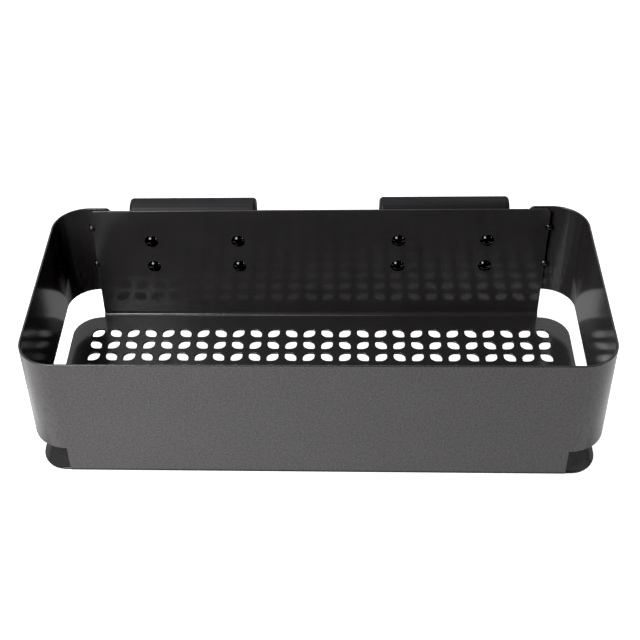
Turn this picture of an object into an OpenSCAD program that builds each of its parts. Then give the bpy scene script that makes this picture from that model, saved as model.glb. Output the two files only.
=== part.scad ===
// Hanging cable tray: one folded and welded sheet-metal basket with a leaf-slotted
// base, carried by two moulded hooks that are riveted to its back wall.
// Units are millimetres. X runs along the tray, +Y is the back, where the hooks are,
// and +Z is up. The origin is on the underside of the base, at the centre of the
// rim's outer outline.

/* [Tray] */
// Width over the rim
tray_w = 300; // [260:1:400]
// Depth over the rim
tray_d = 135.4; // [130:0.1:180]
// Height from the underside of the base to the top edge
tray_h = 77.3; // [70:0.1:110]
// Outside radius of the rim's four vertical corners
corner_r = 19.2; // [18.8:0.1:22]
// Thickness of the sheet
sheet_t = 1.2; // [1:0.1:2]
// Inside radius of the two long folds between base and walls
bend_r = 2.4; // [1:0.1:3]
// Height of the rim that wraps round the sides
rim_h = 59; // [40:0.1:61]
// Gap in plan between the base's side edge and the rim's outer face
base_inset = 2.3; // [1.8:0.1:2.6]
// Radius of the base's two front corners
base_front_r = 15.8; // [8:0.1:16]
// Radius of the base's two back corners
base_back_r = 16.4; // [8:0.1:16.6]
// How far the base's front corners run on past the start of the front fold
base_front_reach = 2.2; // [0:0.1:2.4]

/* [Back lap] */
// How far each rim end runs behind the back wall
lap_len = 12; // [8:0.1:14]
// Clearance between the back wall and the rim ends behind it
lap_gap = 1.5; // [0.3:0.1:1.6]
// Corner radius of the rim ends and of the back wall's top corners
lap_corner_r = 3; // [1:0.5:5]
// Radius of the four round weld pockets on the lap
pocket_r = 1.9; // [1.2:0.1:2.5]
// Height of the lower pair of weld pockets
pocket_low_z = 39.2; // [30:0.1:45]
// Distance from the lower to the upper weld pockets
pocket_pitch = 25.5; // [18:0.1:26]

/* [Leaf slots] */
// Number of slots across the tray
slot_cols = 26; // [10:1:26]
// Number of slot rows from back to front
slot_rows = 10; // [3:1:10]
// Distance between slot centres, both ways
slot_pitch = 10.57; // [9:0.01:10.57]
// Width of a slot, measured square
slot_size = 6.65; // [5:0.05:7]
// Radius of a slot's two full corners
slot_full_r = 3.9; // [3:0.1:3.9]
// Radius of a slot's two pointed corners
slot_tip_r = 1.1; // [0.4:0.1:1.1]
// Distance from the tray's centre line to the rearmost row
slot_back_y = 46.2; // [45:0.1:47]

/* [Hooks] */
// Width of one hook
hook_w = 73; // [60:0.1:80]
// Distance from the tray's centre to a hook's centre
hook_x = 71.5; // [60:0.1:78]
// Thickness of the hook's wall
hook_t = 3; // [2.6:0.1:3.4]
// Clear width of the channel that drops over a rail
hook_gap = 6.7; // [6:0.1:14]
// Outside radius of the hook's crown
hook_r = 5; // [4.5:0.1:6]
// How far the hook's crown stands above the tray's top edge
hook_rise = 2; // [0:0.1:4]
// Length of the lip, from the crown's top to the lip's tip
lip_len = 16.5; // [12:0.5:17]
// Height of the hook plate's lower edge
plate_low_z = 28; // [24:0.5:30]
// Rounding of the hook's ends
hook_end_r = 2.2; // [1.5:0.1:2.4]

/* [Rivets] */
// Distance between rivets along the tray
rivet_pitch_x = 50.5; // [40:0.1:56]
// Distance between rivets up the wall
rivet_pitch_z = 18.1; // [14:0.1:20]
// Height of the lower rivets
rivet_low_z = 37.9; // [36:0.1:42]
// Diameter of the rivet's shank
shank_d = 4; // [3:0.1:4.8]
// Diameter of the domed head
head_d = 7.8; // [6.5:0.1:9]
// Height of the domed head
head_h = 2.1; // [1.4:0.1:2.4]
// Diameter of the set tail
tail_d = 6.2; // [5.4:0.1:6.6]

/* [Hidden] */

$fn = 64;
far = 1000;              // larger than the part, for one-sided cuts
shank_clearance = 0.05;  // radial, between a rivet shank and its holes
tail_h = 1.2;            // height of the set tail
tail_room = 0.2;         // depth left over the tail in its recess
tail_side_room = 0.4;    // radial room round the tail in its recess
plate_corner_r = 6;      // lower corners of the hook plate
weld_proud = 0.5;        // how far a weld stands in front of the back wall
weld_dome = 1.25;        // radius of a weld's domed front, over its pocket's radius

rim_low_z = tray_h - rim_h;
fold_r = bend_r + sheet_t;               // outside radius of a fold
wall_half_w = tray_w / 2 - corner_r;     // front and back walls stop where the corners start
back_y = tray_d / 2 - sheet_t - lap_gap; // outer face of the back wall
front_y = -tray_d / 2;                   // outer face of the front wall
base_w = tray_w - 2 * base_inset;
base_front_y = front_y + fold_r;
base_back_y = back_y - fold_r;
lap_end_x = wall_half_w - lap_len;

hook_depth = hook_gap + 2 * hook_t;
hook_top_z = tray_h + hook_rise;
hook_in_r = hook_r - hook_t;
rivet_grip = sheet_t + hook_t - tail_h - tail_room;

// ---- 2D outlines -----------------------------------------------------------

// Rectangle from low corner to high corner with one radius on its four corners.
module round_rect(low, high, r) {
    size = high - low;
    translate(low + [r, 0]) square([size.x - 2 * r, size.y]);
    translate(low + [0, r]) square([size.x, size.y - 2 * r]);
    for (x = [low.x + r, high.x - r], y = [low.y + r, high.y - r])
        translate([x, y]) circle(r);
}

// What a radius r takes off a square corner that points to +X +Y.
module corner_cut(r) {
    difference() {
        square(r + 1);
        circle(r);
    }
}

// A leaf: a square with two opposite full corners and two tighter ones.
// turn = 0 puts the tips at lower left and upper right, turn = 1 mirrors it.
module leaf(turn) {
    half = slot_size / 2;
    mirror([turn, 0]) difference() {
        square(slot_size, center = true);
        for (a = [90, 270])
            rotate(a) translate((half - slot_full_r) * [1, 1]) corner_cut(slot_full_r);
        for (a = [0, 180])
            rotate(a) translate((half - slot_tip_r) * [1, 1]) corner_cut(slot_tip_r);
    }
}

module leaf_field() {
    for (row = [0 : slot_rows - 1], col = [0 : slot_cols - 1])
        translate([(col - (slot_cols - 1) / 2) * slot_pitch, slot_back_y - row * slot_pitch])
            leaf((row + col) % 2);
}

// Section through a fold and the wall above it, for a wall whose outer face is at y = 0.
// A short flat foot runs on inside the base plate, so that the two are one solid.
module fold_section(height) {
    translate([fold_r, fold_r]) difference() {
        circle(fold_r);
        circle(bend_r);
        translate([0, -fold_r]) square(2 * fold_r);
        translate([-fold_r, 0]) square(2 * fold_r);
    }
    translate([0, fold_r]) square([sheet_t, height - fold_r]);
    translate([fold_r, 0]) square(sheet_t);
}

// ---- Helpers that stand a 2D outline up ---------------------------------------

// An outline drawn as (y, z), extruded along X about the middle.
module along_x(length) {
    rotate([90, 0, 90]) linear_extrude(length, center = true) children();
}

// An outline drawn as (x, z), extruded along Y from y_low to y_high.
module along_y(y_low, y_high) {
    translate([0, y_high, 0]) rotate([90, 0, 0]) linear_extrude(y_high - y_low) children();
}

// ---- Tray shell -----------------------------------------------------------------

// The base in plan. Its front corners run on past the start of the front fold.
module base_outline() {
    front_y = base_front_y - base_front_reach;
    difference() {
        intersection() {
            round_rect([-base_w / 2, front_y], [base_w / 2, far], base_front_r);
            round_rect([-base_w / 2, -far], [base_w / 2, base_back_y], base_back_r);
        }
        translate([-wall_half_w, base_front_y - far]) square([2 * wall_half_w, far]);
    }
}

module base_plate() {
    linear_extrude(sheet_t) difference() {
        base_outline();
        leaf_field();
    }
}

// It runs a little way up inside the rim, so that the two are one solid.
module front_wall() {
    translate([0, front_y, 0]) along_x(2 * wall_half_w) fold_section(rim_low_z + sheet_t);
}

module weld_pockets(y_low, y_high) {
    along_y(y_low, y_high)
        for (x = [-1, 1] * wall_half_w, step = [0, 1])
            translate([x, pocket_low_z + step * pocket_pitch]) circle(pocket_r);
}

module rivet_holes(y_low, y_high) {
    along_y(y_low, y_high)
        for (side = [-1, 1], end = [-1, 1], step = [0, 1])
            translate([side * hook_x + end * rivet_pitch_x / 2, rivet_low_z + step * rivet_pitch_z])
                circle(shank_d / 2 + shank_clearance);
}

module back_wall() {
    difference() {
        translate([0, back_y, 0]) mirror([0, 1, 0]) along_x(2 * wall_half_w) fold_section(tray_h);
        along_y(back_y - sheet_t - 1, back_y + 1)
            for (side = [0, 1]) mirror([side, 0])
                translate([wall_half_w - lap_corner_r, tray_h - lap_corner_r]) corner_cut(lap_corner_r);
        weld_pockets(back_y - sheet_t - 1, back_y + 1);
        rivet_holes(back_y - sheet_t - 1, back_y + 1);
    }
}

// The front wall's upper part, both sides and both rim ends, as one band.
module rim() {
    rim_back_y = tray_d / 2;
    difference() {
        translate([0, 0, rim_low_z]) linear_extrude(rim_h) difference() {
            round_rect([-tray_w, -tray_d] / 2, [tray_w, tray_d] / 2, corner_r);
            round_rect([sheet_t - tray_w / 2, sheet_t - tray_d / 2],
                       [tray_w / 2 - sheet_t, tray_d / 2 - sheet_t], corner_r - sheet_t);
        }
        along_y(rim_back_y - sheet_t - 1, rim_back_y + 1)
            difference() {
                translate([-lap_end_x - lap_corner_r, 0]) square([2 * (lap_end_x + lap_corner_r), far]);
                for (side = [0, 1]) mirror([side, 0])
                    round_rect([lap_end_x, rim_low_z], [lap_end_x + 2 * far, tray_h], lap_corner_r);
            }
        weld_pockets(rim_back_y - sheet_t - 1, rim_back_y + 1);
    }
}

module tray_shell() {
    color("#3c3b3c") union() {
        base_plate();
        front_wall();
        back_wall();
        rim();
    }
}

// ---- Hooks ------------------------------------------------------------------------

// Section through a hook as (y, z), with its plate's front face at y = 0.
module hook_section() {
    difference() {
        round_rect([0, plate_low_z], [hook_depth, hook_top_z], hook_r);
        translate([hook_t, plate_low_z - 1])
            square([hook_gap, hook_top_z - hook_t - hook_in_r - plate_low_z + 1]);
        round_rect([hook_t, hook_top_z - hook_t - 4 * hook_in_r],
                   [hook_depth - hook_t, hook_top_z - hook_t], hook_in_r);
        translate([hook_depth - hook_t, plate_low_z - 1])
            square([far, hook_top_z - lip_len + hook_t / 2 - plate_low_z + 1]);
    }
    translate([0, plate_low_z]) square([hook_t, hook_r]);
    translate([hook_depth - hook_t / 2, hook_top_z - lip_len + hook_t / 2]) circle(hook_t / 2);
}

// The hook's outline seen from the front, as (x, z): round top ends, rounder plate corners.
module hook_front() {
    half = hook_w / 2;
    difference() {
        translate([-half, plate_low_z]) square([hook_w, hook_top_z - plate_low_z]);
        for (side = [0, 1]) mirror([side, 0]) {
            translate([half - hook_end_r, hook_top_z - hook_end_r]) corner_cut(hook_end_r);
            translate([half - plate_corner_r, plate_low_z + plate_corner_r])
                mirror([0, 1]) corner_cut(plate_corner_r);
        }
    }
}

module hook() {
    difference() {
        intersection() {
            translate([0, back_y, 0]) along_x(hook_w) hook_section();
            along_y(back_y - 1, back_y + hook_depth + 1) hook_front();
            linear_extrude(far) round_rect([-hook_w / 2, back_y - hook_end_r],
                                           [hook_w / 2, back_y + hook_depth], hook_end_r);
        }
        along_y(back_y - 1, back_y + hook_t + 1) rivet_places() circle(shank_d / 2 + shank_clearance);
        along_y(back_y + hook_t - tail_h - tail_room, back_y + hook_t + 1)
            rivet_places() circle(tail_d / 2 + tail_side_room);
    }
}

module rivet_places() {
    for (end = [-1, 1], step = [0, 1])
        translate([end * rivet_pitch_x / 2, rivet_low_z + step * rivet_pitch_z]) children();
}

module left_hook() { color("#2c2c2f") translate([-hook_x, 0, 0]) hook(); }

module right_hook() { color("#2c2c2f") translate([hook_x, 0, 0]) hook(); }

// ---- Rivets -------------------------------------------------------------------------

// One set rivet on its own axis: the dome's flat face is at z = 0 and the shank runs to +Z.
module rivet_body() {
    dome_r = (pow(head_d / 2, 2) + pow(head_h, 2)) / (2 * head_h);
    intersection() {
        translate([0, 0, dome_r - head_h]) sphere(dome_r);
        translate([0, 0, -head_h]) cylinder(h = head_h, d = head_d);
    }
    cylinder(h = rivet_grip + tail_h / 2, d = shank_d);
    translate([0, 0, rivet_grip]) cylinder(h = tail_h, d1 = tail_d, d2 = tail_d - tail_h);
}

// The four rivets of one hook. side: -1 for the left hook, 1 for the right.
module hook_rivets(side) {
    color("#0c0c0d")
        for (end = [-1, 1], step = [0, 1])
            translate([side * hook_x + end * rivet_pitch_x / 2, back_y - sheet_t,
                       rivet_low_z + step * rivet_pitch_z])
                rotate([-90, 0, 0]) rivet_body();
}

// ---- Welds --------------------------------------------------------------------------

// One weld on its own axis. It fills a pocket through both sheets, and its domed
// front stands proud of the back wall.
module weld() {
    cap_y = back_y - sheet_t - weld_proud;
    cap_r = pocket_r * weld_dome;
    cap_h = cap_r - sqrt(pow(cap_r, 2) - pow(pocket_r, 2));
    translate([0, 0, cap_y]) intersection() {
        cylinder(h = tray_d / 2 - cap_y, r = pocket_r);
        union() {
            translate([0, 0, cap_r]) sphere(cap_r);
            translate([0, 0, cap_h]) cylinder(h = tray_d, r = 2 * pocket_r);
        }
    }
}

module rim_welds() {
    color("#1c1c1d")
        for (side = [-1, 1], step = [0, 1])
            translate([side * wall_half_w, 0, pocket_low_z + step * pocket_pitch])
                rotate([-90, 0, 0]) weld();
}

tray_shell();
left_hook();
right_hook();
hook_rivets(-1);  // left_hook_rivets
hook_rivets(1);  // right_hook_rivets
rim_welds();
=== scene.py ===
import math

import bpy
import numpy as np
from mathutils import Matrix, Vector
from mathutils.geometry import delaunay_2d_cdt


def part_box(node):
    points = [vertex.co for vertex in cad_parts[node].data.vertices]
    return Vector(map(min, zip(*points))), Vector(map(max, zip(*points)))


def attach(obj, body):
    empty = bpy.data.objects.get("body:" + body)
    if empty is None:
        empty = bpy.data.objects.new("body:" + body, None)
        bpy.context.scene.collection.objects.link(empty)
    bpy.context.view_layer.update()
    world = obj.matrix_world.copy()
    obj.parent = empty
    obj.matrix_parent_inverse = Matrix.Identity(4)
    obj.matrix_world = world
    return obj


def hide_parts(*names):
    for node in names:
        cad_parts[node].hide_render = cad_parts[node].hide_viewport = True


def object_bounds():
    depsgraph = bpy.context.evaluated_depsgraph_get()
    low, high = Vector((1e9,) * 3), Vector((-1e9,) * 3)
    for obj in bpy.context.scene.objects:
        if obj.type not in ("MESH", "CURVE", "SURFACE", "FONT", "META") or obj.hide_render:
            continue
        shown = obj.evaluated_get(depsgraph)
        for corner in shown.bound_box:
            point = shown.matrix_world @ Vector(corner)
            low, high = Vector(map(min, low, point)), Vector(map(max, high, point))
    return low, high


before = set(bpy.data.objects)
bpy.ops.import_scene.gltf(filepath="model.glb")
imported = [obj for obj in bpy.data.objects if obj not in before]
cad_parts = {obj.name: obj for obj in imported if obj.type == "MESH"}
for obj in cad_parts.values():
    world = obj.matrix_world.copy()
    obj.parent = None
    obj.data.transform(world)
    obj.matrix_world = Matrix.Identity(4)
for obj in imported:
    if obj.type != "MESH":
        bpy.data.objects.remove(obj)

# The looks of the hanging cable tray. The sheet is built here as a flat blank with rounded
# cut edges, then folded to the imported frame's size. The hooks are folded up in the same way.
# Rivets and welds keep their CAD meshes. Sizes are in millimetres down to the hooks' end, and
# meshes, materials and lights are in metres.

MM = 0.001
cad_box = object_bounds()


def box_mm(node):
    low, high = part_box(node)
    return np.array(low) / MM, np.array(high) / MM


# ---- Driving dimensions --------------------------------------------------------------

tray_low, tray_high = box_mm("tray_shell")
hook_low, hook_high = box_mm("left_hook")   # the right hook only differs in X

SHEET = 1.2            # thickness of the sheet
FOLD_R = 3.6           # outside radius of the two long folds
CORNER_R = 19.2        # outside radius of the rim's corners
RIM_H = 59.0           # height of the rim round the sides
BASE_INSET = 2.3       # plan gap between the rim's outside and the base's side edge
BASE_FRONT_R = 15.8    # radius of the base's front corners
BASE_BACK_R = 16.4     # radius of the base's back corners
BASE_REACH = 2.2       # how far the front corners run into the front fold
NOTCH_R = 0.4          # radius inside the blank's notches
LAP_LEN = 12.0         # length of a rim end behind the back wall
LAP_R = 3.0            # corner radius of the rim ends and of the back wall
POCKET_R = 1.9         # radius of the weld pockets
RIVET_HEAD_R = 3.9     # radius of a rivet's domed head
RIVET_HOLE_R = 2.05    # radius of a rivet's hole, in the sheet and in the hook
EDGE_R = 0.5           # rounding that the coat gives to every cut edge

SLOT_COLS, SLOT_ROWS = 26, 10
SLOT_PITCH = 10.57     # distance between slot centres, both ways
SLOT_SIZE = 6.65       # width of a slot, measured square
SLOT_FULL_R = 3.9      # radius of a slot's two full corners
SLOT_TIP_R = 1.1       # radius of a slot's two pointed corners
SLOT_BACK_Y = 46.2     # from the tray's centre line to the rearmost row

HOOK_T = 3.0           # wall of a hook
HOOK_R = 5.0           # outside radius of a hook's crown
HOOK_LIP = 16.5        # length of the lip, from the crown's top
HOOK_END_R = 2.2       # rounding along a hook's outer ends
HOOK_ARRIS = 0.4       # rounding of a hook's other edges
BORE_ARRIS = 0.15      # rounding of the edges of a rivet's hole and recess
PLATE_CORNER_R = 6.0   # radius of the hook plate's lower corners
LIP_CORNER_R = HOOK_END_R + 1   # radius of the lip's corners
TAIL_ROOM_R = 3.5      # radius of the recess round a rivet's tail
TAIL_ROOM_H = 1.4      # depth of that recess

ARC_STEP = math.radians(9)      # arc step of small outlines
RIM_STEPS = 28                  # columns in each rim corner
FOLD_STEPS = 10                 # rows in each long fold
ROUND_STEPS = 4                 # rows in each rounded edge of the sheet
HOOK_END_STEPS = 5              # rows in a hook's rounded ends
HOOK_ARRIS_STEPS = 2            # rows in a hook's other edges
LINE_OVERRUN = 1                # how far fold lines run past the blank
MERGE_DISTANCE = 1e-5           # points of a blank closer than this become one
SHARPEST_MITRE = 0.3            # limit that keeps acute corners from shooting out

half_w = tray_high[0]
top_z = tray_high[2]
front_y, rim_back_y = tray_low[1], tray_high[1]
back_y = hook_low[1]
rim_low_z = top_z - RIM_H
wall_half = half_w - CORNER_R
fold_len = FOLD_R * math.pi / 2
corner_len = CORNER_R * math.pi / 2
side_len = rim_back_y - front_y - 2 * CORNER_R
front_fold_y = front_y + FOLD_R
back_fold_y = back_y - FOLD_R
lap_start_u = wall_half + 2 * corner_len + side_len
base_half = half_w - BASE_INSET


def front_s(z):
    """Blank coordinate of a height on the front wall and rim."""
    return front_fold_y - fold_len - (z - FOLD_R)


def back_s(z):
    """Blank coordinate of a height on the back wall."""
    return back_fold_y + fold_len + (z - FOLD_R)


# ---- Flat outlines -------------------------------------------------------------------

def arc(centre, r, start, end):
    """Points along an arc, with the angles in degrees."""
    count = max(2, round(abs(math.radians(end - start)) / ARC_STEP) + 1)
    return [(centre[0] + r * math.cos(math.radians(a)), centre[1] + r * math.sin(math.radians(a)))
            for a in np.linspace(start, end, count)]


def filleted(corners):
    """A closed outline from (x, s, r) corners, each rounded by its own radius."""
    points = []
    for i, (x, s, r) in enumerate(corners):
        here = np.array((x, s))
        if r == 0:
            points.append(tuple(here))
            continue
        to_last = np.array(corners[i - 1][:2]) - here
        to_next = np.array(corners[(i + 1) % len(corners)][:2]) - here
        to_last /= np.linalg.norm(to_last)
        to_next /= np.linalg.norm(to_next)
        half_angle = math.acos(np.clip(to_last @ to_next, -1, 1)) / 2
        reach = r / math.tan(half_angle)
        middle = to_last + to_next
        centre = here + middle / np.linalg.norm(middle) * r / math.sin(half_angle)
        start = here + to_last * reach - centre
        end = here + to_next * reach - centre
        a0 = math.degrees(math.atan2(start[1], start[0]))
        turn = (math.degrees(math.atan2(end[1], end[0])) - a0 + 180) % 360 - 180
        points += arc(centre, r, a0, a0 + turn)
    return points


def circle(centre, r):
    return arc(centre, r, 0, 360)[:-1]


def leaf(centre, turn):
    """A slot: two full corners and two tight ones. turn is 1 or -1 and mirrors it."""
    h = SLOT_SIZE / 2
    tips, fulls = SLOT_TIP_R, SLOT_FULL_R
    corners = [(h, h, tips), (-h, h, fulls), (-h, -h, tips), (h, -h, fulls)]
    outline = filleted([(centre[0] + turn * x, centre[1] + s, r) for x, s, r in corners])
    return outline[::turn]


def pocket_heights():
    """Heights of the weld pockets, from the welds' own box."""
    low, high = box_mm("rim_welds")
    return low[2] + POCKET_R, high[2] - POCKET_R


def rivet_places():
    """Centres of the rivet holes, as (x, z)."""
    places = []
    for node in ("left_hook_rivets", "right_hook_rivets"):
        low, high = box_mm(node)
        places += [(x, z) for x in (low[0] + RIVET_HEAD_R, high[0] - RIVET_HEAD_R)
                   for z in (low[2] + RIVET_HEAD_R, high[2] - RIVET_HEAD_R)]
    return places


def blank_outline():
    """The sheet's outline before folding, counter-clockwise."""
    low_pocket, high_pocket = pocket_heights()
    lap_end_u = lap_start_u + LAP_LEN
    right = [
        (lap_end_u, front_s(top_z), LAP_R),
        (lap_end_u, front_s(rim_low_z), LAP_R),
        (wall_half, front_s(rim_low_z), NOTCH_R),
        (wall_half, front_fold_y - BASE_REACH, NOTCH_R),
        (base_half, front_fold_y - BASE_REACH, BASE_FRONT_R),
        (base_half, back_fold_y, BASE_BACK_R),
        (wall_half, back_fold_y, NOTCH_R),
    ]
    for z in (low_pocket, high_pocket):
        right += [(x, s, 0) for x, s in arc((wall_half, back_s(z)), POCKET_R, 270, 90)]
    right.append((wall_half, back_s(top_z), LAP_R))
    left = [(-x, s, r) for x, s, r in reversed(right)]
    return filleted(right + left)


def blank_holes():
    """Slots, weld pockets in the rim ends and rivet holes."""
    holes = []
    for row in range(SLOT_ROWS):
        for col in range(SLOT_COLS):
            centre = ((col - (SLOT_COLS - 1) / 2) * SLOT_PITCH, SLOT_BACK_Y - row * SLOT_PITCH)
            holes.append(leaf(centre, -1 if (row + col) % 2 else 1))
    for side in (-1, 1):
        holes += [circle((side * lap_start_u, front_s(z)), POCKET_R) for z in pocket_heights()]
    holes += [circle((x, back_s(z)), RIVET_HOLE_R) for x, z in rivet_places()]
    return holes


def mitres(points, following, leading):
    """Vectors that push an outline one unit to its right-hand side."""
    def normal(a, b):
        d = b - a
        d = d / np.linalg.norm(d, axis=1, keepdims=True)
        return np.stack([d[:, 1], -d[:, 0]], 1)
    n0, n1 = normal(leading, points), normal(points, following)
    return (n0 + n1) / np.maximum(1 + (n0 * n1).sum(1, keepdims=True), SHARPEST_MITRE)


def inset(outline, distance):
    """The outline moved into the material, which lies on its left."""
    p = np.array(outline)
    return p - mitres(p, np.roll(p, -1, 0), np.roll(p, 1, 0)) * distance


def fold_lines():
    """Lines across the blank where it has to bend."""
    lines = []
    for k in range(FOLD_STEPS + 1):
        step = fold_len * k / FOLD_STEPS
        for s in (front_fold_y - step, back_fold_y + step):
            lines.append(((-half_w, s), (half_w, s)))
    for k in range(RIM_STEPS + 1):
        step = corner_len * k / RIM_STEPS
        for u in (wall_half + step, lap_start_u - step):
            for side in (-1, 1):
                lines.append(((side * u, front_s(top_z) - LINE_OVERRUN),
                              (side * u, front_s(rim_low_z) + LINE_OVERRUN)))
    return lines


def inside(points, outline):
    """Even-odd test, for the points in the outline's box."""
    x, y = points[:, :1], points[:, 1:]
    a, b = outline, np.roll(outline, -1, 0)
    spans = (a[:, 1] > y) != (b[:, 1] > y)
    run = np.where(b[:, 1] == a[:, 1], 1, b[:, 1] - a[:, 1])
    crosses = a[:, 0] + (y - a[:, 1]) * (b[:, 0] - a[:, 0]) / run
    return (spans & (x < crosses)).sum(1) % 2 == 1


def triangulate(outer, holes, lines):
    """Triangles of a flat blank, cut along lines."""
    points, edges = [], []
    for loop in [outer] + holes:
        first = len(points)
        points += [Vector(p) for p in loop]
        edges += [(first + i, first + (i + 1) % len(loop)) for i in range(len(loop))]
    for a, b in lines:
        edges.append((len(points), len(points) + 1))
        points += [Vector(a), Vector(b)]
    found = delaunay_2d_cdt(points, edges, [], 0, MERGE_DISTANCE)
    flat, triangles = np.array([tuple(p) for p in found[0]]), np.array(found[2])
    centres = flat[triangles].mean(1)
    keep = inside(centres, outer)
    for hole in holes:
        near = np.flatnonzero(((centres > hole.min(0)) & (centres < hole.max(0))).all(1))
        keep[near[inside(centres[near], hole)]] = False
    triangles = triangles[keep]
    used, triangles = np.unique(triangles, return_inverse=True)
    return flat[used], triangles.reshape(-1, 3)


# ---- Folding -------------------------------------------------------------------------

def folded(flat):
    """Where blank points end up: place on the outer face, inward normal and two tangents."""
    x, s = flat[:, 0], flat[:, 1]
    one, none = np.ones(len(x)), np.zeros(len(x))
    to_front = np.clip((front_fold_y - s) / FOLD_R, 0, math.pi / 2)
    to_back = np.clip((s - back_fold_y) / FOLD_R, 0, math.pi / 2)
    up_front = np.maximum(front_fold_y - fold_len - s, 0)
    up_back = np.maximum(s - back_fold_y - fold_len, 0)
    y = (np.clip(s, front_fold_y, back_fold_y)
         - FOLD_R * np.sin(to_front) + FOLD_R * np.sin(to_back))
    z = (FOLD_R * (2 - np.cos(to_front) - np.cos(to_back)) + up_front + up_back)
    lean = to_front - to_back
    normal = np.stack([none, np.sin(lean), np.cos(lean)], 1)
    across = np.stack([one, none, none], 1)
    along = np.stack([none, np.cos(lean), -np.sin(lean)], 1)
    place = np.stack([x, y, z], 1)

    rim = (up_front > 0) & (np.abs(x) > wall_half)
    side, u = np.sign(x[rim]), np.abs(x[rim]) - wall_half
    turn_1 = np.clip(u / CORNER_R, 0, math.pi / 2)
    run = np.clip(u - corner_len, 0, side_len)
    turn_2 = np.clip((u - corner_len - side_len) / CORNER_R, 0, math.pi / 2)
    lap = np.maximum(u - 2 * corner_len - side_len, 0)
    turn = turn_1 + turn_2
    place[rim, 0] = side * (wall_half + CORNER_R * (np.sin(turn_1) - 1 + np.cos(turn_2)) - lap)
    place[rim, 1] = front_y + CORNER_R * (1 - np.cos(turn_1) + np.sin(turn_2)) + run
    normal[rim] = np.stack([-side * np.sin(turn), np.cos(turn), 0 * turn], 1)
    across[rim] = np.stack([np.cos(turn), side * np.sin(turn), 0 * turn], 1)
    return place, normal, across, along


def boundary(triangles):
    """Directed edges with the material on their left, as arrays of last, here and next."""
    edges = np.concatenate([triangles[:, [0, 1]], triangles[:, [1, 2]], triangles[:, [2, 0]]])
    known = set(map(tuple, edges))
    rim = np.array([e for e in map(tuple, edges) if (e[1], e[0]) not in known])
    after = dict(rim)
    here = rim[:, 0]
    before = {b: a for a, b in rim}
    return np.array([before[v] for v in here]), here, np.array([after[v] for v in here])


def skinned(flat, triangles, fold, thick, edge_rows):
    """Two folded faces and the rows of points that join their edges.

    edge_rows(edge) gives rows of (shift out of the blank, depth, outward, facing), where the
    first and the last row belong to the faces themselves.
    """
    last, here, following = boundary(triangles)
    push = mitres(flat[here], flat[following], flat[last])
    rows = edge_rows(flat[here])
    count, ring = len(flat), len(here)
    coords, normals = [], []
    for row, side in ((rows[0], -1), (rows[-1], 1)):
        face = flat.copy()
        face[here] += push * row[0]
        place, normal, across, along = fold(face)
        coords.append(place + normal * (thick if side > 0 else 0))
        normals.append(normal * side)
    for shift, depth, outward, facing in rows[1:-1]:
        p, n, tx, ts = fold(flat[here] + push * shift)
        out = push[:, :1] * tx + push[:, 1:] * ts
        out /= np.linalg.norm(out, axis=1, keepdims=True)
        coords.append(p + n * depth)
        normals.append(out * outward + n * facing)

    position = np.full(count, -1)
    position[here] = np.arange(ring)
    loops = [here] + [2 * count + k * ring + np.arange(ring) for k in range(len(rows) - 2)]
    loops.append(here + count)
    step = position[following]
    faces = [tuple(t) for t in triangles[:, ::-1]] + [tuple(t) for t in triangles + count]
    for low, high in zip(loops, loops[1:]):
        faces += list(zip(low, low[step], high[step], high))
    return np.concatenate(coords) * MM, faces, np.concatenate(normals)


def quarter(r, steps):
    """(sideways, depth, outward, facing) from a face round to its cut edge."""
    turns = [math.pi / 2 * k / steps for k in range(steps + 1)]
    return [(r * math.sin(a), r * (1 - math.cos(a)), math.sin(a), -math.cos(a)) for a in turns]


def sheet_mesh():
    """The folded tray: two faces of the blank joined by rounded cut edges."""
    def edge_rows(_edge):
        rows = quarter(EDGE_R, ROUND_STEPS)
        return rows + [(shift, SHEET - depth, outward, -facing)
                       for shift, depth, outward, facing in reversed(rows)]

    outer = inset(blank_outline(), EDGE_R)
    holes = [inset(hole[::-1], EDGE_R)[::-1] for hole in blank_holes()]
    flat, triangles = triangulate(outer, holes, fold_lines())
    return skinned(flat, triangles, folded, SHEET, edge_rows)


# ---- Hooks ---------------------------------------------------------------------------

hook_half = (hook_high[0] - hook_low[0]) / 2
hook_straight = hook_high[2] - hook_low[2] - HOOK_R
hook_bend = HOOK_R * math.pi / 2
hook_flat = hook_high[1] - hook_low[1] - 2 * HOOK_R
hook_run = hook_straight + 2 * hook_bend + hook_flat + HOOK_LIP - HOOK_R


def hook_folded(flat, middle_x):
    """The same as folded() for a hook's blank, whose s starts at the plate's lower edge."""
    x, s = flat[:, 0], flat[:, 1]
    one, none = np.ones(len(x)), np.zeros(len(x))
    turn_1 = np.clip((s - hook_straight) / HOOK_R, 0, math.pi / 2)
    run = np.clip(s - hook_straight - hook_bend, 0, hook_flat)
    turn_2 = np.clip((s - hook_straight - hook_bend - hook_flat) / HOOK_R, 0, math.pi / 2)
    down = np.maximum(s - hook_straight - 2 * hook_bend - hook_flat, 0)
    y = back_y + HOOK_R * (1 - np.cos(turn_1) + np.sin(turn_2)) + run
    z = (hook_low[2] + np.minimum(s, hook_straight)
         + HOOK_R * (np.sin(turn_1) - 1 + np.cos(turn_2)) - down)
    turn = turn_1 + turn_2
    place = np.stack([middle_x - x, y, z], 1)
    normal = np.stack([none, np.cos(turn), -np.sin(turn)], 1)
    return (place, normal, np.stack([-one, none, none], 1),
            np.stack([none, np.sin(turn), np.cos(turn)], 1))


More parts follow.
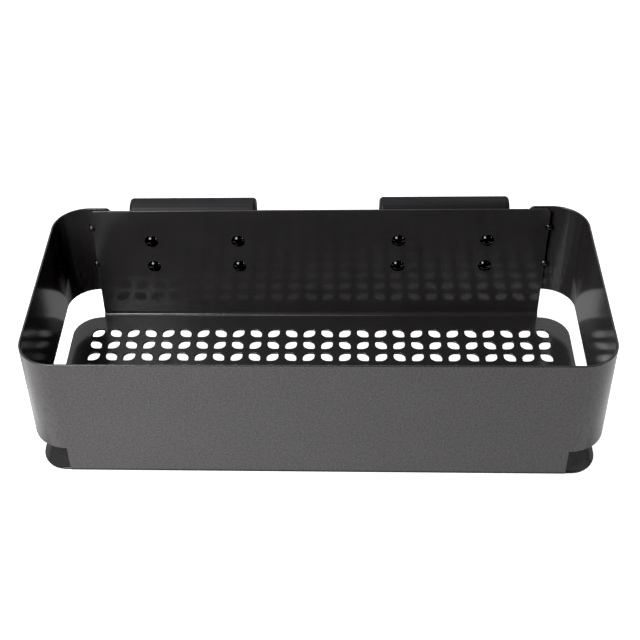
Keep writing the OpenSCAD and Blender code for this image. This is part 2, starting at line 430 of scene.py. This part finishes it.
def hook_mesh(side):
    """A moulded hook with well rounded outer ends, rivet holes and tail recesses."""
    middle_x = -side * (hook_low[0] + hook_half)
    holes = [circle((middle_x - x, z - hook_low[2]), RIVET_HOLE_R)
             for x, z in rivet_places() if x * side > 0]
    centres = np.array([np.mean(hole, 0) for hole in holes])

    def edge_rows(edge):
        to_hole = np.linalg.norm(edge[:, None] - centres[None], axis=2).min(1)
        cut = (to_hole < 2 * RIVET_HOLE_R)[:, None]
        rise = np.clip((edge[:, 1:] - hook_straight + HOOK_R) / HOOK_R, 0, 1)
        r = HOOK_ARRIS + (HOOK_END_R - HOOK_ARRIS) * rise * rise * (3 - 2 * rise)
        rows = [(HOOK_END_R - r + r * shift, r * depth, outward, facing)
                for shift, depth, outward, facing in quarter(1, HOOK_END_STEPS)]
        rows += [(HOOK_END_R - HOOK_ARRIS + shift, HOOK_T - depth, outward, -facing)
                 for shift, depth, outward, facing in reversed(quarter(HOOK_ARRIS, HOOK_ARRIS_STEPS))]
        c, ledge, wide = BORE_ARRIS, HOOK_T - TAIL_ROOM_H, RIVET_HOLE_R - TAIL_ROOM_R
        bore = [(-c, 0, 0, -1), (-c / 3, c / 3, 1, -1), (0, c, 1, 0), (0, ledge - c, 1, 0),
                (-c, ledge, 0, 1), (wide + c, ledge, 0, 1), (wide, ledge + c, 1, 0),
                (wide, HOOK_T - c, 1, 0), (wide - c, HOOK_T, 0, 1)]
        return [tuple(np.where(cut, inner, outer) for outer, inner in zip(row, hole_row))
                for row, hole_row in zip(rows, bore)]

    corners = [(hook_half, hook_run, LIP_CORNER_R), (-hook_half, hook_run, LIP_CORNER_R),
               (-hook_half, 0, PLATE_CORNER_R), (hook_half, 0, PLATE_CORNER_R)]
    lines = []
    for k in range(FOLD_STEPS + 1):
        step = hook_bend * k / FOLD_STEPS
        for s in (hook_straight + step, hook_straight + hook_bend + hook_flat + step):
            lines.append(((-hook_half - LINE_OVERRUN, s), (hook_half + LINE_OVERRUN, s)))
    outer = inset(filleted(corners), HOOK_END_R)
    flat, triangles = triangulate(outer, [np.array(hole) for hole in holes], lines)
    return skinned(flat, triangles, lambda blank: hook_folded(blank, middle_x), HOOK_T, edge_rows)


def new_piece(name, coords, faces, normals, node, slot):
    """A mesh object with its own shading normals that stands for a CAD node."""
    mesh = bpy.data.meshes.new(name)
    mesh.from_pydata([tuple(c) for c in coords], [], [tuple(map(int, f)) for f in faces])
    mesh.polygons.foreach_set("use_smooth", [True] * len(mesh.polygons))
    mesh.normals_split_custom_set_from_vertices([tuple(n) for n in normals])
    piece = bpy.data.objects.new(name, mesh)
    bpy.context.scene.collection.objects.link(piece)
    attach(piece, "root")
    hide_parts(node)
    return piece


# ---- Materials -----------------------------------------------------------------------

# Darkest and lightest base colour of each material.
COAT_TONES = (0.0335, 0.0313, 0.0323), (0.0380, 0.0356, 0.0367)
PLASTIC_TONES = (0.016, 0.016, 0.018), (0.021, 0.021, 0.023)
GLOSS_TONES = (0.001, 0.001, 0.0012), (0.003, 0.003, 0.0033)
WELD_TONES = (0.012, 0.012, 0.012), (0.03, 0.03, 0.031)
FLOOR_TONES = (0.86, 0.86, 0.86), (0.9, 0.9, 0.9)

# Full heights of the bumps, in metres.
COAT_GRAIN_H, COAT_PEEL_H = 0.000006, 0.000012
PLASTIC_GRAIN_H = 0.000015
GLOSS_FLOW_H = 0.00001
WELD_LUMP_H, WELD_LUMP_STRENGTH = 0.0004, 0.8
FLOOR_GRAIN_H = 0.0002


class Nodes:
    """Short calls for building one node material."""

    def __init__(self, name):
        self.material = bpy.data.materials.new(name)
        self.material.use_nodes = True
        self.tree = self.material.node_tree
        self.shader = self.tree.nodes["Principled BSDF"]
        self.where = self.tree.nodes.new("ShaderNodeTexCoord").outputs["Object"]

    def link(self, source, target):
        self.tree.links.new(source, target)

    def noise(self, scale, detail=2.0):
        """Noise whose features are about 1 / scale of a metre."""
        node = self.tree.nodes.new("ShaderNodeTexNoise")
        node.inputs["Scale"].default_value = scale
        node.inputs["Detail"].default_value = detail
        self.link(self.where, node.inputs["Vector"])
        return node.outputs["Fac"]

    def ramp(self, source, low, high, from_low=0.3, from_high=0.7):
        """Maps a value range onto another, clamped."""
        node = self.tree.nodes.new("ShaderNodeMapRange")
        for name, value in (("From Min", from_low), ("From Max", from_high),
                            ("To Min", low), ("To Max", high)):
            node.inputs[name].default_value = value
        self.link(source, node.inputs["Value"])
        return node.outputs["Result"]

    def along(self, axis, start, end, low=0, high=1):
        """A value that runs from low to high between two places on an axis."""
        node = self.tree.nodes.new("ShaderNodeSeparateXYZ")
        self.link(self.where, node.inputs[0])
        return self.ramp(node.outputs[axis], low, high, start, end)

    def product(self, a, b):
        node = self.tree.nodes.new("ShaderNodeMath")
        node.operation = "MULTIPLY"
        self.link(a, node.inputs[0])
        self.link(b, node.inputs[1])
        return node.outputs[0]

    def blend(self, fac, a, b):
        """A value between a and b."""
        node = self.tree.nodes.new("ShaderNodeMix")
        for name, source in (("Factor", fac), ("A", a), ("B", b)):
            self.link(source, node.inputs[name])
        return node.outputs["Result"]

    def mix(self, fac, tones):
        """A colour between two tones."""
        node = self.tree.nodes.new("ShaderNodeMix")
        node.data_type = "RGBA"
        for name, tone_rgb in zip("AB", tones):
            node.inputs[name].default_value = (*tone_rgb, 1)
        self.link(fac, node.inputs["Factor"])
        return node.outputs["Result"]

    def bump(self, height, distance, strength=1.0, under=None):
        """A bump whose full height is distance, in metres."""
        node = self.tree.nodes.new("ShaderNodeBump")
        node.inputs["Strength"].default_value = strength
        node.inputs["Distance"].default_value = distance
        self.link(height, node.inputs["Height"])
        if under is not None:
            self.link(under, node.inputs["Normal"])
        return node.outputs["Normal"]

    def finish(self, colour, roughness, normal, coat=0.0):
        for name, source in (("Base Color", colour), ("Roughness", roughness), ("Normal", normal)):
            self.link(source, self.shader.inputs[name])
        self.shader.inputs["Coat Weight"].default_value = coat
        return self.material


def powder_coat():
    """Satin charcoal coat: a smooth skin with a little haze, grain and orange peel."""
    n = Nodes("powder_coat")
    grain, speck, peel, cloud = n.noise(2600, 3), n.noise(900), n.noise(450), n.noise(45, 3)
    colour = n.mix(n.ramp(cloud, 0, 1), COAT_TONES)
    normal = n.bump(grain, COAT_GRAIN_H, under=n.bump(peel, COAT_PEEL_H))
    n.link(n.ramp(speck, 0.34, 0.74), n.shader.inputs["Specular IOR Level"])
    n.link(n.ramp(grain, 0.40, 0.50), n.shader.inputs["Coat Roughness"])
    n.link(normal, n.shader.inputs["Coat Normal"])
    return n.finish(colour, n.ramp(cloud, 0.11, 0.15), normal, coat=0.20)


def hook_plastic():
    """Nearly black moulded plastic with a fine spark-eroded grain."""
    n = Nodes("hook_plastic")
    grain, cloud = n.noise(3500, 3), n.noise(60)
    colour = n.mix(n.ramp(cloud, 0, 1), PLASTIC_TONES)
    n.shader.inputs["Specular IOR Level"].default_value = 0.25
    return n.finish(colour, n.ramp(grain, 0.38, 0.46), n.bump(grain, PLASTIC_GRAIN_H))


def rivet_gloss():
    """Gloss black paint on the rivets, with a little dust."""
    n = Nodes("rivet_gloss")
    dust, flow = n.noise(4000), n.noise(500, 1)
    n.shader.inputs["Specular IOR Level"].default_value = 0.55
    colour = n.mix(n.ramp(dust, 0, 1, from_low=0.6, from_high=0.75), GLOSS_TONES)
    return n.finish(colour, n.ramp(flow, 0.05, 0.08), n.bump(flow, GLOSS_FLOW_H))


def weld_gloss():
    """Coat that has pooled over a lumpy weld."""
    n = Nodes("weld_gloss")
    lumps, grain = n.noise(900), n.noise(3000)
    colour = n.mix(n.ramp(lumps, 0, 1), WELD_TONES)
    normal = n.bump(lumps, WELD_LUMP_H, WELD_LUMP_STRENGTH)
    return n.finish(colour, n.ramp(grain, 0.12, 0.22), normal, coat=0.4)


def dress(piece, material):
    piece.data.materials.clear()
    piece.data.materials.append(material)


# ---- Pieces --------------------------------------------------------------------------

def build_pieces():
    tray = new_piece("tray_sheet", *sheet_mesh(), "tray_shell", "powder_coat")
    dress(tray, powder_coat())
    plastic, gloss = hook_plastic(), rivet_gloss()
    for side, sign in (("left", -1), ("right", 1)):
        moulding = new_piece(side + "_moulding", *hook_mesh(sign), side + "_hook", "hook_plastic")
        dress(moulding, plastic)
        dress(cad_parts[side + "_hook_rivets"], gloss)
    dress(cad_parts["rim_welds"], weld_gloss())


# ---- Studio --------------------------------------------------------------------------

centre = (cad_box[0] + cad_box[1]) / 2

FLOOR_DROP = 0.02      # floor below the tray's underside
FLOOR_REACH = 6.0      # half of the floor's width

# How bright each zone of the floor glows in the tray's reflections (painted light, with a painted
# shadow of the tray under it): the X where a zone's ramp starts and ends, and its strength at either
# end.
GLOW_FRONT = (-0.11, 0.115, 1.55, 1.08)
GLOW_SHADOW = (-0.12, 0.11, 0.09, 0.12)
GLOW_LIT = (-0.12, 0.11, 0.08, 0.58)
GLOW_BEHIND = (-0.13, 0.13, 0.33, 0.36)
GLOW_TINT = (1.0, 0.985, 0.99, 1)

# Where the floor changes from one zone to the next: start and end of each step.
SHADOW_TO_LIT_Y = (-0.045, 0.01)
LIT_TO_BEHIND_Y = (0.05, 0.08)
BEHIND_TO_FAR_Y = (0.2, 0.3)
FRONT_TO_SHADOW_Y = (-0.09, -0.075)
BESIDE_TO_UNDER_Y = (-0.02, 0.05)
LEFT_SIDE_X = (-0.20, -0.16)
RIGHT_SIDE_X = (0.16, 0.20)

# Each softbox: name, offset from the tray's centre, size and power in watts.
SOFTBOXES = (
    ("key_left", (-0.32, -0.41, 0.43), (0.33, 0.33), 3.5),
    ("overhead", (-0.25, 0.10, 0.95), (0.8, 0.7), 3.0),
    ("backdrop", (0.0, 0.80, 0.70), (1.8, 0.5), 2.4),
    ("fill_right", (1.08, -0.35, 0.38), (0.25, 0.25), 1),
)
ROOM_GREY = 0.005      # what the room adds to every reflection

CAMERA_AT = (0.01354, -0.5270, 0.4912)
CAMERA_TURN = (-5.088, -42.368, -3.221)    # yaw, pitch and roll in degrees
LENS_MM = 71.07
LENS_SHIFT = (0.0970, 0.0876)
BLACK_LEVEL = 0.005    # scene brightness that becomes black


def floor_glow(n):
    """The floor as reflections see it: a glow of painted light round the tray and a painted shadow
    under it.
    """
    front, lit = n.along("X", *GLOW_FRONT), n.along("X", *GLOW_LIT)
    shadow, behind = n.along("X", *GLOW_SHADOW), n.along("X", *GLOW_BEHIND)
    # painted shadow of the tray under it, turning to painted light further back
    under = n.blend(n.along("Y", *SHADOW_TO_LIT_Y), shadow, lit)
    rear = n.blend(n.along("Y", *LIT_TO_BEHIND_Y), under, behind)
    far = n.blend(n.along("Y", *BEHIND_TO_FAR_Y), rear, front)
    between = n.product(n.along("X", *LEFT_SIDE_X), n.along("X", *RIGHT_SIDE_X, 1, 0))
    dim = n.blend(between, n.along("Y", *BESIDE_TO_UNDER_Y), n.along("Y", *FRONT_TO_SHADOW_Y))
    # the floor glows with this painted light and shade though it is no lamp
    glow = n.tree.nodes.new("ShaderNodeEmission")
    glow.inputs["Color"].default_value = GLOW_TINT
    n.link(n.blend(dim, front, far), glow.inputs["Strength"])
    return glow.outputs[0]


def floor():
    """A pale floor just below the tray. It is white to the camera and floor_glow, its painted light
    and shadow, to the rest.
    """
    z = cad_box[0].z - FLOOR_DROP
    corners = [(x * FLOOR_REACH, y * FLOOR_REACH, z) for x, y in ((-1, -1), (1, -1), (1, 1), (-1, 1))]
    mesh = bpy.data.meshes.new("floor")
    mesh.from_pydata(corners, [], [(0, 1, 2, 3)])
    plane = bpy.data.objects.new("floor", mesh)
    bpy.context.scene.collection.objects.link(plane)
    n = Nodes("floor")
    n.finish(n.mix(n.noise(3), FLOOR_TONES), n.ramp(n.noise(5), 0.7, 0.8),
             n.bump(n.noise(40), FLOOR_GRAIN_H))
    n.shader.inputs["Emission Color"].default_value = (1, 1, 1, 1)
    n.shader.inputs["Emission Strength"].default_value = 1
    seen = n.tree.nodes.new("ShaderNodeMixShader")
    n.link(n.tree.nodes.new("ShaderNodeLightPath").outputs["Is Camera Ray"], seen.inputs["Fac"])
    n.link(floor_glow(n), seen.inputs[1])
    n.link(n.shader.outputs[0], seen.inputs[2])
    n.link(seen.outputs[0], n.tree.nodes["Material Output"].inputs["Surface"])
    plane.data.materials.append(n.material)


def softbox(name, offset, size, power):
    """An area light that looks at the tray."""
    light = bpy.data.lights.new(name, "AREA")
    light.shape = "RECTANGLE"
    light.size, light.size_y = size
    light.energy = power
    lamp = bpy.data.objects.new(name, light)
    bpy.context.scene.collection.objects.link(lamp)
    lamp.location = centre + Vector(offset)
    lamp.visible_camera = False
    lamp.rotation_euler = (centre - lamp.location).to_track_quat("-Z", "Y").to_euler()


def surroundings():
    """White to the camera, dim grey to everything else."""
    world = bpy.data.worlds.new("studio")
    bpy.context.scene.world = world
    world.use_nodes = True
    tree = world.node_tree
    path = tree.nodes.new("ShaderNodeLightPath")
    mix = tree.nodes.new("ShaderNodeMix")
    mix.data_type = "RGBA"
    mix.inputs["A"].default_value = (ROOM_GREY, ROOM_GREY, ROOM_GREY, 1)
    mix.inputs["B"].default_value = (1, 1, 1, 1)
    tree.links.new(path.outputs["Is Camera Ray"], mix.inputs["Factor"])
    tree.links.new(mix.outputs["Result"], tree.nodes["Background"].inputs["Color"])


def camera():
    """A camera at the reference view's angle."""
    yaw, pitch, roll = (math.radians(angle) for angle in CAMERA_TURN)
    data = bpy.data.cameras.new("view")
    data.lens = LENS_MM
    data.shift_x, data.shift_y = LENS_SHIFT
    view = bpy.data.objects.new("view", data)
    bpy.context.scene.collection.objects.link(view)
    turn = (Matrix.Rotation(-yaw, 4, "Z") @ Matrix.Rotation(math.pi / 2 + pitch, 4, "X")
            @ Matrix.Rotation(roll, 4, "Z"))
    view.matrix_world = Matrix.Translation(CAMERA_AT) @ turn
    bpy.context.scene.camera = view


def tone():
    """A plain transfer curve with slightly deeper blacks."""
    settings = bpy.context.scene.view_settings
    settings.view_transform = "Standard"
    settings.use_curve_mapping = True
    settings.curve_mapping.black_level = (BLACK_LEVEL, BLACK_LEVEL, BLACK_LEVEL)
    settings.curve_mapping.update()


build_pieces()
floor()
for box in SOFTBOXES:
    softbox(*box)
surroundings()
camera()
tone()
